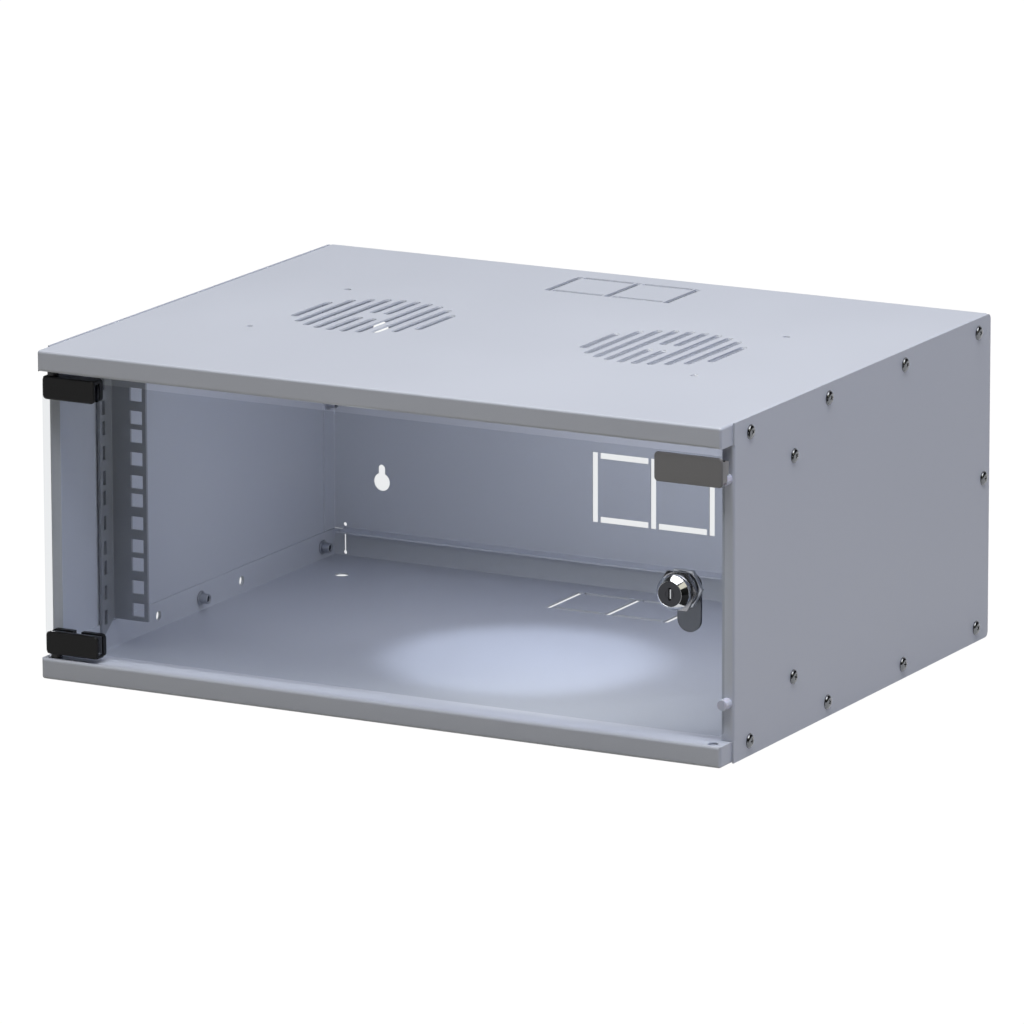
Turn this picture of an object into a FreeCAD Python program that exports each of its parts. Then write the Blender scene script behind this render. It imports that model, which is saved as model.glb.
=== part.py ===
import FreeCAD, Part
import math
import os

from FreeCAD import Vector

# Wall mount network cabinet with a hinged glass door, in millimetres.
# X runs to the right, Y runs from the door back to the wall, Z runs up.
# The origin is the centre of the rear face, which hangs against the wall.

# Rack standard that the cabinet is built around
rack_unit = 44.45
units = 4
rack_opening = 450.0
hole_inset = 7.55
hole_size = 9.5
hole_heights = (6.35, 22.225, 38.1)

# Cabinet box, measured over the pressings
height = 225.0
depth = 400.0
rail_face = 28.8
sheet = 1.2
side_sheet = 1.2
bend_radius = 0.8

# Floor and roof pressings
lip_height = 14.3
lip_return = 18.0
wall_height = 20.0
seam = 0.4
fold_gap = 0.2
corner_tab = 9.0
relief_gap = 1.3
relief_r = 1.4

# Side plates
side_front = 16.5
side_flange = 8.7
side_corner = 4.0
lap_gap = 0.3

# Rear panel and its keyholes
pan_flange = 15.0
pan_gap = 0.3
pan_fix_inset = 9.4
keyhole_span_x = 431.0
keyhole_span_z = 110.0
keyhole_r = 6.5
keyhole_slot = 5.5
keyhole_rise = 12.5

# Knockouts for cables, each a pair of squares held by thin bridges
knockout_half = 45.6
knockout_slit = 4.4
knockout_length = 50.0
knockout_bridge = 1.6
knockout_from_rear = 46.7
knockout_above_floor = 72.0

# Round vents in the roof, each a row of slots that stop on a circle
vent_span = 220.6
vent_r = 54.5
vent_pitch = 10.6
vent_slots = 10
vent_slot_width = 5.6
vent_hub = 14.6
slot_sides = 8

# Bolt holes for a fan tray in the roof, and for feet or a plinth in the floor
fan_span_x = 336.0
fan_span_y = 135.5
fan_hole_r = 2.5
floor_span_x = 438.0
floor_span_y = 294.0
floor_hole_r = 5.0

# Rack rails
rail_sheet = 2.0
rail_setback = 90.0
rail_overrun = 1.2
rail_side = 15.0
rail_skirt = 12.0
side_slot_width = 3.6
side_slot_height = 9.8
side_slot_inset = 10.0
side_slot_unit = 48.4
side_slot_first = 2.7
side_slot_heights = (0.0, 17.2, 34.4)
ear_length = 26.0
ear_height = 24.0
ear_corner = 3.0
ear_screw_depth = 12.5
ear_screw_z = 74.0

# Screws and the rivet nuts that they enter. As they repeat, they and their holes have
# flat sides in place of curves.
fixing_sides = 8
hole_sides = 12
fix_inset = 10.0
fix_first = 39.2
fix_last = 19.1
fix_count = 4
shank_r = 2.4
nut_gap = 0.05
screw_hole_gap = 0.4
screw_head_r = 4.2
screw_crown_r = 3.3
screw_rim_r = 4.9
screw_rim = 0.5
screw_head = 2.0
screw_reach = 7.0
nut_hole_r = 3.5
nut_head_r = 5.0
nut_bulge_r = 5.2
nut_bulge = 1.4
nut_length = 8.0

# Glass door
glass = 5.0
glass_front = 3.7
glass_side_gap = 1.4
glass_end_gap = 6.1
glass_corner = 3.0

# Door hinges: a channel that clamps a corner of the glass and turns on a pin
pivot_inset = 8.5
pivot_depth = 6.5
pin_r = 2.5
pin_running_gap = 0.06
pin_fit = 0.02
pin_reach = 3.0
bush_shoulder_r = 3.7
bush_end_gap = 0.3
hinge_length = 40.0
hinge_height = 15.6
hinge_lap = 3.0
hinge_front_plate = 2.0
hinge_rear_plate = 4.0
hinge_left_gap = 1.6
hinge_corner = 3.0
hinge_bevel = 0.8
liner = 0.5
liner_inset = 1.2
clamp_screw_r = 2.0
clamp_screw_span = 22.0
hinge_notch = 6.0
hinge_notch_depth = 4.0

# Finger plate that clips round the free edge of the glass
grip_length = 49.4
grip_height = 19.7
grip_plate = 1.7
grip_tape = 0.4
grip_wrap = 1.5
grip_jaw = 12.0
grip_corner = 3.0
grip_bevel = 0.7

# Cam lock
lock_inset = 32.1
lock_rise = 1.8
lock_barrel_r = 9.5
lock_hole_gap = 0.5
lock_gasket = 0.5
lock_collar = 3.0
lock_collar_flats = 25.3
hexagon_sides = 6
lock_head_r = 11.7
lock_head_length = 5.1
lock_bezel = 4.3
lock_face_r = 8.6
lock_disc_r = 8.2
lock_disc = 1.0
lock_core_r = 6.0
lock_running_gap = 0.05
lock_nut = 3.6
lock_nut_flats = 24.0
lock_tail = 7.0
lock_tail_gap = 0.05
key_slot = 1.8
key_slot_height = 8.4
key_slot_depth = 6.0
lock_sides = 24
cam_clear = 0.4
cam_plate = 2.0
cam_width = 17.0
cam_reach = 31.0
cam_screw_r = 2.5
cam_screw_head_r = 4.6
cam_screw_head = 2.2
cam_screw_reach = 6.0

# Door bumpers on the side plate that the door closes against
bumper_r = 3.7
bumper_tip_r = 3.4
bumper_stem_r = 1.5
bumper_inset = 4.8
bumper_end_inset = 17.9
bumper_rise = 1.4
bumper_gap = 0.3
bumper_barb_r = 2.3
bumper_barb = 2.0

# Places that follow from the sizes above
nut_r = nut_hole_r - nut_gap
bush_r = nut_r
rack_height = units * rack_unit
width = rack_opening + 2 * (rail_face + sheet)
half_w = width / 2
top = height / 2
bottom = -top
front = -depth
side_outer = half_w + side_sheet
side_y = front + side_front
side_flange_back = side_y + side_sheet
lip_top = bottom + lip_height
wall_top = bottom + wall_height
wall_start = side_flange_back + bend_radius + fold_gap
outer_radius = bend_radius + sheet
rail_y = front + rail_setback
rail_outer = half_w - sheet
rail_half = rack_height / 2 + rail_overrun
pan_half = top - wall_height - pan_gap
glass_y = front + glass_front
glass_back = glass_y + glass
glass_half_w = half_w - glass_side_gap
glass_half_h = top - lip_height - glass_end_gap
pivot_x = -(half_w - pivot_inset)
pivot_y = front + pivot_depth
hinge_left = -(glass_half_w - hinge_left_gap)
hinge_front = glass_y - liner - hinge_front_plate
hinge_back = glass_back + liner + hinge_rear_plate
hinge_low = -glass_half_h - hinge_lap
lock_x = half_w - lock_inset
lock_z = lock_rise
collar_front = glass_y - lock_gasket - lock_collar
lock_face = collar_front - lock_head_length - lock_bezel
cam_front = side_flange_back + cam_clear
cam_back = cam_front + cam_plate
grip_right = glass_half_w + grip_wrap
grip_left = grip_right - grip_length
grip_top = glass_half_h
grip_y = glass_y - grip_tape - grip_plate
fix_z = top - fix_inset
ear_screw_y = rail_y + ear_screw_depth
fix_pitch = (depth - fix_first - fix_last) / (fix_count - 1)
bumper_z = glass_half_h - bumper_end_inset


# Flat planes that outlines are drawn on
def on_xy(u, v):
    return Vector(u, v, 0)


def on_xz(u, v):
    return Vector(u, 0, v)


def on_yz(u, v):
    return Vector(0, u, v)


def block(x0, x1, y0, y1, z0, z1):
    """Box between two corners."""
    return Part.makeBox(x1 - x0, y1 - y0, z1 - z0, Vector(x0, y0, z0))


def rod(r, start, end):
    """Cylinder from one point to another."""
    axis = end - start
    return Part.makeCylinder(r, axis.Length, start, axis)


def rounded_wire(points, radii, place):
    """Closed wire through flat points, each corner rounded by its radius (0 keeps it sharp)."""
    runs = []
    for i, point in enumerate(points):
        here = Vector(point[0], point[1], 0)
        before = Vector(points[i - 1][0], points[i - 1][1], 0)
        after = Vector(points[(i + 1) % len(points)][0], points[(i + 1) % len(points)][1], 0)
        way_in = (here - before).normalize()
        way_out = (after - here).normalize()
        half_turn = way_in.getAngle(way_out) / 2
        cut = radii[i] * math.tan(half_turn)
        bulge = radii[i] / math.cos(half_turn) - radii[i]
        middle = here
        if cut > 0:
            middle = here + (way_out - way_in).normalize() * bulge
        runs.append((here - way_in * cut, middle, here + way_out * cut))
    edges = []
    for i, (start, middle, end) in enumerate(runs):
        if radii[i] > 0:
            arc = Part.Arc(place(start.x, start.y), place(middle.x, middle.y), place(end.x, end.y))
            edges.append(arc.toShape())
        following = runs[(i + 1) % len(runs)][0]
        if end.distanceToPoint(following) > 1e-6:
            line = Part.LineSegment(place(end.x, end.y), place(following.x, following.y))
            edges.append(line.toShape())
    return Part.Wire(edges)


def prism(points, radii, place, start, travel):
    """Flat outline moved to its start and pushed along a vector."""
    face = Part.Face(rounded_wire(points, radii, place))
    face.translate(start)
    return face.extrude(travel)


def rectangle(u0, u1, v0, v1):
    return [(u0, v0), (u1, v0), (u1, v1), (u0, v1)]


def folded(path, metal, thickness, place, start, travel):
    """Folded sheet. path runs along one face, metal is +1 where the sheet lies to its left."""
    outline, radii, far_side, far_radii = [], [], [], []
    last = len(path) - 1
    for i, (u, v) in enumerate(path):
        normals = []
        ways = []
        for a, b in ((i - 1, i), (i, i + 1)):
            if a >= 0 and b <= last:
                du, dv = path[b][0] - path[a][0], path[b][1] - path[a][1]
                length = math.hypot(du, dv)
                ways.append((du / length, dv / length))
                normals.append((-dv / length * metal, du / length * metal))
        near = far = 0
        if len(ways) == 2:
            turn = ways[0][0] * ways[1][1] - ways[0][1] * ways[1][0]
            inside = turn * metal > 0
            near = bend_radius + thickness if inside else bend_radius
            far = bend_radius if inside else bend_radius + thickness
        outline.append((u, v))
        radii.append(near)
        far_side.append((u + thickness * sum(n[0] for n in normals),
                         v + thickness * sum(n[1] for n in normals)))
        far_radii.append(far)
    points = outline + far_side[::-1]
    return prism(points, radii + far_radii[::-1], place, start, travel)


def soft_box(x0, x1, y0, y1, z0, z1, r, wanted):
    """Box with the edges that wanted() picks rounded."""
    box = block(x0, x1, y0, y1, z0, z1)
    return box.makeFillet(r, [edge for edge in box.Edges if wanted(edge)])


def around(sides):
    """Unit directions to the corners of a polygon."""
    angles = [2 * math.pi * i / sides for i in range(sides)]
    return [(math.cos(angle), math.sin(angle)) for angle in angles]


def flat_sided(profile, at, axis, sides=fixing_sides):
    """Turning with flat sides from (distance, radius) points, about an axis from a point."""
    faces = []
    corners = around(sides)
    for (d0, r0), (d1, r1) in zip(profile, profile[1:] + profile[:1]):
        for a, b in zip(corners, corners[1:] + corners[:1]):
            ring = [(r0, a, d0), (r0, b, d0), (r1, b, d1), (r1, a, d1)]
            if r0 == 0:
                ring = ring[1:]
            elif r1 == 0:
                ring = ring[:3]
            if r0 + r1 > 0:
                points = [Vector(r * u[0], r * u[1], d) for r, u, d in ring]
                faces.append(Part.Face(Part.makePolygon(points + points[:1])))
    ring = Part.makeSolid(Part.makeShell(faces)).removeSplitter()
    if ring.Volume < 0:
        ring.reverse()
    ring.Placement = FreeCAD.Placement(at, FreeCAD.Rotation(Vector(0, 0, 1), axis))
    return ring


def flat_rod(r, start, end):
    """Rod with flat sides that clear a circle of radius r."""
    wide = r / math.cos(math.pi / hole_sides)
    length = (end - start).Length
    profile = [(0, 0), (0, wide), (length, wide), (length, 0)]
    return flat_sided(profile, start, end - start, hole_sides)


def mirror_x(shape):
    return shape.mirror(Vector(0, 0, 0), Vector(1, 0, 0))


def mirror_z(shape):
    return shape.mirror(Vector(0, 0, 0), Vector(0, 0, 1))


# Cutters
def knockout(place, centre, through):
    """Slits that outline two squares; the metal left between the slits holds them."""
    half_slit = knockout_slit / 2
    half_length = knockout_length / 2
    square_half = knockout_half / 2
    short_half = square_half - half_slit - knockout_bridge
    slits = [rectangle(u - half_slit, u + half_slit, -half_length, half_length)
             for u in (-knockout_half, 0, knockout_half)]
    for u in (-square_half, square_half):
        for v in (-half_length + half_slit, half_length - half_slit):
            slits.append(rectangle(u - short_half, u + short_half, v - half_slit, v + half_slit))
    return [prism(slit, [0] * len(slit), place, centre - through / 2, through) for slit in slits]


def slot_outline(x, y0, y1, r):
    """Slot along Y whose ends follow a half circle in flats."""
    ends = around(slot_sides)[:slot_sides // 2 + 1]
    points = [(x + r * u, y1 - r + r * v) for u, v in ends]
    return points + [(x - r * u, y0 + r - r * v) for u, v in ends]


def vent(centre_x):
    """Row of slots along Y, trimmed to a circle, with a solid hub."""
    cutters = []
    r = vent_slot_width / 2
    lift = Vector(0, 0, 3 * sheet)
    for i in range(vent_slots):
        offset = (i - (vent_slots - 1) / 2) * vent_pitch
        reach = math.sqrt(vent_r ** 2 - offset ** 2)
        spans = [(-reach, reach)]
        if abs(offset) < vent_pitch:
            spans = [(-reach, -vent_hub / 2), (vent_hub / 2, reach)]
        for y0, y1 in spans:
            outline = slot_outline(centre_x + offset, front / 2 + y0, front / 2 + y1, r)
            start = Vector(0, 0, top) - lift / 2
            cutters.append(prism(outline, [0] * len(outline), on_xy, start, lift))
    return cutters


def corner_holes(r, span_x, span_y, z):
    """Four holes along Z on the corners of a rectangle about the middle of the depth."""
    return [rod(r, Vector(sx * span_x / 2, front / 2 + sy * span_y / 2, z - sheet * 2),
                Vector(sx * span_x / 2, front / 2 + sy * span_y / 2, z + sheet * 2))
            for sx in (-1, 1) for sy in (-1, 1)]


def keyholes():
    """Wall hooks: a round hole for the screw head and a slot above it for the shank."""
    cutters = []
    slot_r = keyhole_slot / 2
    push = Vector(0, 4 * sheet, 0)
    for sx in (-1, 1):
        for sz in (-1, 1):
            x, z = sx * keyhole_span_x / 2, sz * keyhole_span_z / 2
            start = Vector(0, -2 * sheet, 0)
            cutters.append(rod(keyhole_r, Vector(x, start.y, z), Vector(x, start.y, z) + push))
            outline = rectangle(x - slot_r, x + slot_r, z, z + keyhole_rise)
            cutters.append(prism(outline, [0, 0, slot_r, slot_r], on_xz, start, push))
    return cutters


# Where the side fixings go: (side, y, z)
def side_fixings(side):
    """The hinge side is held at three places along each wall, the lock side at four."""
    steps = range(fix_count) if side > 0 else (0, (fix_count - 1) / 2, fix_count - 1)
    spots = []
    for step in steps:
        for sz in (-1, 1):
            spots.append((side, front + fix_first + step * fix_pitch, sz * fix_z))
    return spots


def spare_holes():
    """Holes of the hinge side that stay empty."""
    return [(-1, front + fix_first + step * fix_pitch, sz * fix_z)
            for step in range(1, fix_count - 1) for sz in (-1, 1)]


def pan_fixings():
    return [(side, -pan_fix_inset, 0) for side in (-1, 1)]


def ear_fixings():
    return [(side, ear_screw_y, sz * ear_screw_z) for side in (-1, 1) for sz in (-1, 1)]


def cross_holes(spots, r, cutter=flat_rod):
    """Holes along X through a side of the cabinet, with room for every sheet there."""
    reach = side_sheet + sheet + rail_sheet
    return [cutter(r, Vector(side * (half_w - reach), y, z), Vector(side * (half_w + reach), y, z))
            for side, y, z in spots]


# Cabinet pieces
def tray():
    """Floor pressing: folded lip, side walls with open front corners, and a rear wall."""
    lip_line = [(front + lip_return, lip_top), (front, lip_top), (front, bottom),
                (0, bottom), (0, wall_top)]
    body = folded(lip_line, 1, sheet, on_yz, Vector(-half_w, 0, 0), Vector(width, 0, 0))
    walls = rectangle(-half_w, half_w, bottom, wall_top)
    walls = [walls[3], walls[0], walls[1], walls[2]]
    wall_run = Vector(0, -wall_start, 0)
    body = body.fuse(folded(walls, 1, sheet, on_xz, Vector(0, wall_start, 0), wall_run))
    tabs = [(-half_w, lip_top), (-half_w, bottom), (half_w, bottom), (half_w, lip_top)]
    tab_run = Vector(0, side_front - seam, 0)
    body = body.fuse(folded(tabs, 1, sheet, on_xz, Vector(0, front, 0), tab_run))

    def outside_edge(edge):
        box = edge.BoundBox
        upright = box.ZLength > wall_height / 2
        return upright or box.ZMax < bottom + sheet

    rounded = soft_box(-half_w, half_w, front, 0, bottom, wall_top, outer_radius, outside_edge)
    body = body.common(rounded)
    cutters = []
    for side in (-1, 1):
        x = side * (half_w - corner_tab - relief_gap / 2)
        low = bottom + outer_radius + relief_r
        cutters.append(block(x - relief_gap / 2, x + relief_gap / 2, -2 * sheet, sheet,
                             low, wall_top + sheet))
        cutters.append(flat_rod(relief_r, Vector(x, -2 * sheet, low), Vector(x, sheet, low)))
        cutters.append(rod(nut_hole_r, Vector(side * pivot_x, pivot_y, lip_top - 2 * sheet),
                           Vector(side * pivot_x, pivot_y, lip_top + sheet)))
    return body.cut(cutters)


def wall_cutters():
    """Holes in both side walls of the floor or the roof."""
    spots = side_fixings(-1) + side_fixings(1)
    return cross_holes(spots, nut_hole_r) + cross_holes(spare_holes(), nut_hole_r, rod)


def bottom_panel():
    centre = Vector(0, -knockout_from_rear, bottom)
    cutters = knockout(on_xy, centre, Vector(0, 0, 4 * sheet))
    cutters += corner_holes(floor_hole_r, floor_span_x, floor_span_y, bottom)
    return tray().cut(cutters + wall_cutters())


def top_panel():
    centre = Vector(0, -knockout_from_rear, top)
    cutters = knockout(on_xy, centre, Vector(0, 0, 4 * sheet))
    cutters += corner_holes(fan_hole_r, fan_span_x, fan_span_y, top)
    cutters += vent(-vent_span / 2) + vent(vent_span / 2)
    return mirror_z(tray()).cut(cutters + wall_cutters())


def rear_panel():
    """Pan with four flanges folded forward, keyholes and a knockout."""
    across = [(-half_w, -pan_flange), (-half_w, 0), (half_w, 0), (half_w, -pan_flange)]
    body = folded(across, -1, sheet, on_xy, Vector(0, 0, -pan_half), Vector(0, 0, 2 * pan_half))
    upright = [(-pan_flange, -pan_half), (0, -pan_half), (0, pan_half), (-pan_flange, pan_half)]
    half_run = half_w - corner_tab - relief_gap
    body = body.fuse(folded(upright, 1, sheet, on_yz, Vector(-half_run, 0, 0),
                            Vector(2 * half_run, 0, 0)))

    def rear_edge(edge):
        return edge.BoundBox.YMin > -sheet

    body = body.common(soft_box(-half_w, half_w, -pan_flange, 0, -pan_half, pan_half,
                                outer_radius, rear_edge))
    cutters = keyholes()
    centre = Vector(0, 0, bottom + knockout_above_floor)
    cutters += knockout(on_xz, centre, Vector(0, 4 * sheet, 0))
    for sx in (-1, 1):
        for sz in (-1, 1):
            x = sx * (half_run + relief_gap / 2)
            z = sz * (pan_half - outer_radius - relief_r)
            cutters.append(flat_rod(relief_r, Vector(x, -2 * sheet, z), Vector(x, sheet, z)))
    return body.cut(cutters + cross_holes(pan_fixings(), nut_hole_r))


def side_panel(side):
    """Outer plate with an inward flange along its front, between the two lips."""
    line = [(side_outer - side_flange, side_y), (side_outer, side_y), (side_outer, 0)]
    flange_half = top - lip_height - lap_gap
    body = folded(line, 1, side_sheet, on_xy, Vector(0, 0, -flange_half),
                  Vector(0, 0, 2 * flange_half))
    for z0, z1 in ((bottom, -flange_half), (flange_half, top)):
        body = body.fuse(block(half_w, side_outer, side_y, 0, z0, z1))
    corners = prism(rectangle(side_y, 0, bottom, top), [0, side_corner, side_corner, 0], on_yz,
                    Vector(side_outer - side_flange, 0, 0), Vector(side_flange, 0, 0))
    body = body.common(corners)
    if side > 0:
        for spot in bumper_spots():
            start = Vector(spot.x, side_y - sheet, spot.z)
            body = body.cut(rod(bumper_stem_r, start, start + Vector(0, 4 * side_sheet, 0)))
    else:
        body = mirror_x(body)
    spots = side_fixings(side) + [s for s in pan_fixings() + ear_fixings() if s[0] == side]
    body = body.cut(cross_holes(spots, shank_r + screw_hole_gap))
    if side < 0:
        body = body.cut(cross_holes(spare_holes(), nut_hole_r, rod))
    return body.removeSplitter()


def rail(side):
    """Rack rail: punched face, slotted side flange with slanted ends, and two screw ears."""
    inner = rail_outer - rail_face
    reach = rail_half + rail_skirt
    face_back = rail_y + rail_sheet
    front_edge = rail_y - rail_side
    profile = [(inner, face_back), (rail_outer, face_back), (rail_outer, front_edge)]
    body = folded(profile, -1, rail_sheet, on_xy, Vector(0, 0, -reach), Vector(0, 0, 2 * reach))
    ends = [(face_back, -rail_half), (rail_y, -rail_half), (front_edge, -reach),
            (front_edge, reach), (rail_y, rail_half), (face_back, rail_half)]
    trim = prism(ends, [0] * len(ends), on_yz, Vector(inner, 0, 0), Vector(rail_face, 0, 0))
    body = body.common(trim)
    for sz in (-1, 1):
        z = sz * ear_screw_z
        ear = rectangle(rail_y + rail_sheet / 2, rail_y + ear_length, z - ear_height / 2,
                        z + ear_height / 2)
        body = body.fuse(prism(ear, [0, ear_corner, ear_corner, 0], on_yz,
                               Vector(rail_outer - rail_sheet, 0, 0), Vector(rail_sheet, 0, 0)))
    cutters = []
    hole_x = rack_opening / 2 + hole_inset
    half = hole_size / 2
    for unit in range(units):
        for rise in hole_heights:
            z = -rack_height / 2 + unit * rack_unit + rise
            cutters.append(block(hole_x - half, hole_x + half, rail_y - sheet,
                                 face_back + sheet, z - half, z + half))
    slot_y = rail_y - side_slot_inset
    slot_r = side_slot_width / 2
    limit = rail_half + rail_skirt * side_slot_inset / rail_side - rail_sheet
    for unit in range(units):
        for rise in side_slot_heights:
            z = -rail_half + side_slot_first + unit * side_slot_unit + rise
            if z + side_slot_height / 2 > limit:
                continue
            outline = rectangle(slot_y - slot_r, slot_y + slot_r, z - side_slot_height / 2,
                                z + side_slot_height / 2)
            cutters.append(prism(outline, [0] * len(outline), on_yz,
                                 Vector(rail_outer - 2 * rail_sheet, 0, 0),
                                 Vector(3 * rail_sheet, 0, 0)))
    body = body.cut(cutters)
    if side < 0:
        body = mirror_x(body)
    return body.cut(cross_holes([s for s in ear_fixings() if s[0] == side], nut_hole_r))


def rivet_nut(spot, wall, standoff):
    """Rivet nut in a sheet. standoff is the room between the side plate and that sheet."""
    side, y, z = spot
    bore = shank_r + nut_gap
    start = standoff + wall
    profile = [(0, bore)]
    if standoff > 0:
        profile += [(0, nut_head_r), (standoff, nut_head_r), (standoff, nut_r)]
    else:
        profile.append((0, nut_r))
    profile += [(start, nut_r), (start, nut_bulge_r), (start + nut_bulge, nut_r),
                (nut_length, nut_r), (nut_length, bore)]
    return flat_sided(profile, Vector(side * half_w, y, z), Vector(-side, 0, 0))


def side_screw(spot):
    """Pan head screw with a rim that seats on the side plate."""
    side, y, z = spot
    profile = [(-side_sheet - screw_reach, 0), (-side_sheet - screw_reach, shank_r), (0, shank_r),
               (0, screw_rim_r), (screw_rim, screw_rim_r), (screw_rim, screw_head_r),
               (screw_head, screw_crown_r), (screw_head, 0)]
    return flat_sided(profile, Vector(side * side_outer, y, z), Vector(side, 0, 0))


def bumper_spots():
    x = side_outer - bumper_inset
    return [Vector(x, side_y, bumper_rise + sz * bumper_z) for sz in (-1, 1)]


def bumper(spot):
    """Soft button that the closed glass rests on, with a barbed stem through the flange."""
    length = side_y - glass_back - bumper_gap
    behind = -side_sheet
    stem = bumper_stem_r - nut_gap
    profile = [(behind - bumper_barb, 0), (behind - bumper_barb, stem), (behind, bumper_barb_r),
               (behind, stem), (0, stem), (0, bumper_r), (length - bumper_gap, bumper_r),
               (length, bumper_tip_r), (length, 0)]
    return flat_sided(profile, spot, Vector(0, -1, 0), hole_sides)


def pivot_bush(end):
    """Shouldered bush in the lip that carries a hinge pin. end is -1 low, 1 high."""
    shoulder = hinge_low - lip_top - bush_end_gap
    bore = pin_r + pin_running_gap
    profile = [(-2 * sheet, 0), (-2 * sheet, bush_r), (0, bush_r), (0, bush_shoulder_r),
               (shoulder, bush_shoulder_r), (shoulder, 0)]
    seat = Vector(pivot_x, pivot_y, lip_top)
    bush = flat_sided(profile, seat, Vector(0, 0, 1), hole_sides)
    reach = Vector(0, 0, 2 * (shoulder + sheet))
    bush = bush.cut(rod(bore, seat - reach, seat + reach))
    return bush if end < 0 else mirror_z(bush)


# Door pieces
def glass_door():
    outline = rectangle(-glass_half_w, glass_half_w, -glass_half_h, glass_half_h)
    pane = prism(outline, [glass_corner] * 4, on_xz, Vector(0, glass_y, 0), Vector(0, glass, 0))
    hole = rod(lock_barrel_r + lock_hole_gap, Vector(lock_x, glass_y - glass, lock_z),
               Vector(lock_x, glass_back + glass, lock_z))
    return pane.cut(hole)


def hinge_body(end):
    """Clamp channel round a corner of the glass, with a bevelled face and a notched back."""
    high = hinge_low + hinge_height
    right = hinge_left + hinge_length
    outline = rectangle(hinge_left, right, hinge_low, high)
    plate = prism(outline, [hinge_corner] * 4, on_xz, Vector(0, hinge_front, 0),
                  Vector(0, hinge_front_plate, 0))
    rim = [edge for edge in plate.Edges if edge.BoundBox.YMax < hinge_front + liner / 2]
    plate = plate.makeChamfer(hinge_bevel, rim)
    slot_front = hinge_front + hinge_front_plate
    slot_back = hinge_back - hinge_rear_plate
    rear = prism(outline, [hinge_corner] * 4, on_xz, Vector(0, slot_back, 0),
                 Vector(0, hinge_rear_plate, 0))
    floor = -glass_half_h - liner
    bridge = prism(rectangle(hinge_left, right, hinge_low, floor),
                   [hinge_lap - liner - sheet, hinge_lap - liner - sheet, 0, 0], on_xz,
                   Vector(0, slot_front - liner, 0),
                   Vector(0, slot_back - slot_front + 2 * liner, 0))
    body = plate.fuse([rear, bridge])
    middle = hinge_left + hinge_length / 2
    notch = block(middle - hinge_notch / 2, middle + hinge_notch / 2, slot_back - liner,
                  hinge_back + liner, high - hinge_notch_depth, high + liner)
    cutters = [notch, rod(pin_r + pin_fit, Vector(pivot_x, pivot_y, hinge_low - liner),
                          Vector(pivot_x, pivot_y, floor + liner))]
    for x in clamp_screw_xs():
        cutters.append(rod(clamp_screw_r + pin_fit, Vector(x, slot_back - liner, clamp_screw_z()),
                           Vector(x, hinge_back + liner, clamp_screw_z())))
    body = body.cut(cutters)
    return body if end < 0 else mirror_z(body)


def clamp_screw_xs():
    middle = hinge_left + hinge_length / 2
    return (middle - clamp_screw_span / 2, middle + clamp_screw_span / 2)


def clamp_screw_z():
    return hinge_low + hinge_height / 2 + hinge_lap / 2


def hinge_liner(end):
    """Soft strip folded round the edge of the glass, inside the clamp channel."""
    floor = -glass_half_h - liner
    high = hinge_low + hinge_height - liner_inset
    left = max(hinge_left, -glass_half_w) + liner_inset
    run = hinge_left + hinge_length - liner_inset - left
    outside = block(left, left + run, glass_y - liner, glass_back + liner, floor, high)
    strip = outside.cut(block(left - 1, left + run + 1, glass_y, glass_back, -glass_half_h,
                              high + 1))
    return strip if end < 0 else mirror_z(strip)


def hinge_pin(end):
    """Pin pressed into the channel, turning in the bush in the lip."""
    pin = rod(pin_r, Vector(pivot_x, pivot_y, lip_top - sheet - pin_reach),
              Vector(pivot_x, pivot_y, -glass_half_h - liner))
    tip = [edge for edge in pin.Edges if edge.BoundBox.ZMax < lip_top - pin_reach]
    pin = pin.makeChamfer(liner, tip)
    return pin if end < 0 else mirror_z(pin)


def clamp_screws(end):
    """Pair of grub screws that press the liner on the back of the glass."""
    screws = []
    for x in clamp_screw_xs():
        length = hinge_back - glass_back - 2 * liner
        profile = [(0, 0), (0, clamp_screw_r), (length, clamp_screw_r), (length, 0)]
        screw = flat_sided(profile, Vector(x, glass_back + liner, clamp_screw_z()),
                           Vector(0, 1, 0))
        screws.append(screw if end < 0 else mirror_z(screw))
    return Part.makeCompound(screws)


def finger_plate():
    """Bare plate on the glass with a jaw that wraps round its free edge."""
    low = grip_top - grip_height
    outline = rectangle(grip_left, grip_right, low, grip_top)
    plate = prism(outline, [grip_corner] * 4, on_xz, Vector(0, grip_y, 0),
                  Vector(0, grip_plate, 0))
    rim = [edge for edge in plate.Edges if edge.BoundBox.YMax < grip_y + grip_plate / 4]
    plate = plate.makeChamfer(grip_bevel, rim)
    edge = glass_half_w + grip_tape
    web_top = grip_top - grip_corner
    jaw_low = bumper_rise + bumper_z + bumper_r + bumper_gap
    jaw_front = glass_back + grip_tape
    jaw_back = jaw_front + grip_plate
    web = block(edge, grip_right, grip_y + grip_plate / 2, glass_back, low + grip_corner, web_top)
    knee = block(edge, grip_right, glass_back, jaw_back, jaw_low, web_top)
    jaw = block(grip_right - grip_jaw, grip_right, jaw_front, jaw_back, jaw_low, web_top)
    return plate.fuse([web, knee, jaw]).removeSplitter()


def grip_tape_pad():
    """Adhesive pad between the finger plate and the glass."""
    low = grip_top - grip_height
    return block(grip_left + grip_corner, glass_half_w - grip_corner, grip_y + grip_plate,
                 glass_y, low + grip_corner, grip_top - grip_corner)


# Lock pieces. Distances are measured along Y at the lock's axis.
def on_lock(y):
    return Vector(lock_x, y, lock_z)


def hexagon(flats, start, thickness, bore):
    """Hexagonal ring with two flats level."""
    r = flats / math.sqrt(3)
    points = [(lock_x + r * u, lock_z + r * v) for u, v in around(hexagon_sides)]
    ring = prism(points, [0] * len(points), on_xz, Vector(0, start, 0), Vector(0, thickness, 0))
    return ring.cut(rod(bore, on_lock(start - thickness), on_lock(start + 2 * thickness)))


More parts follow.
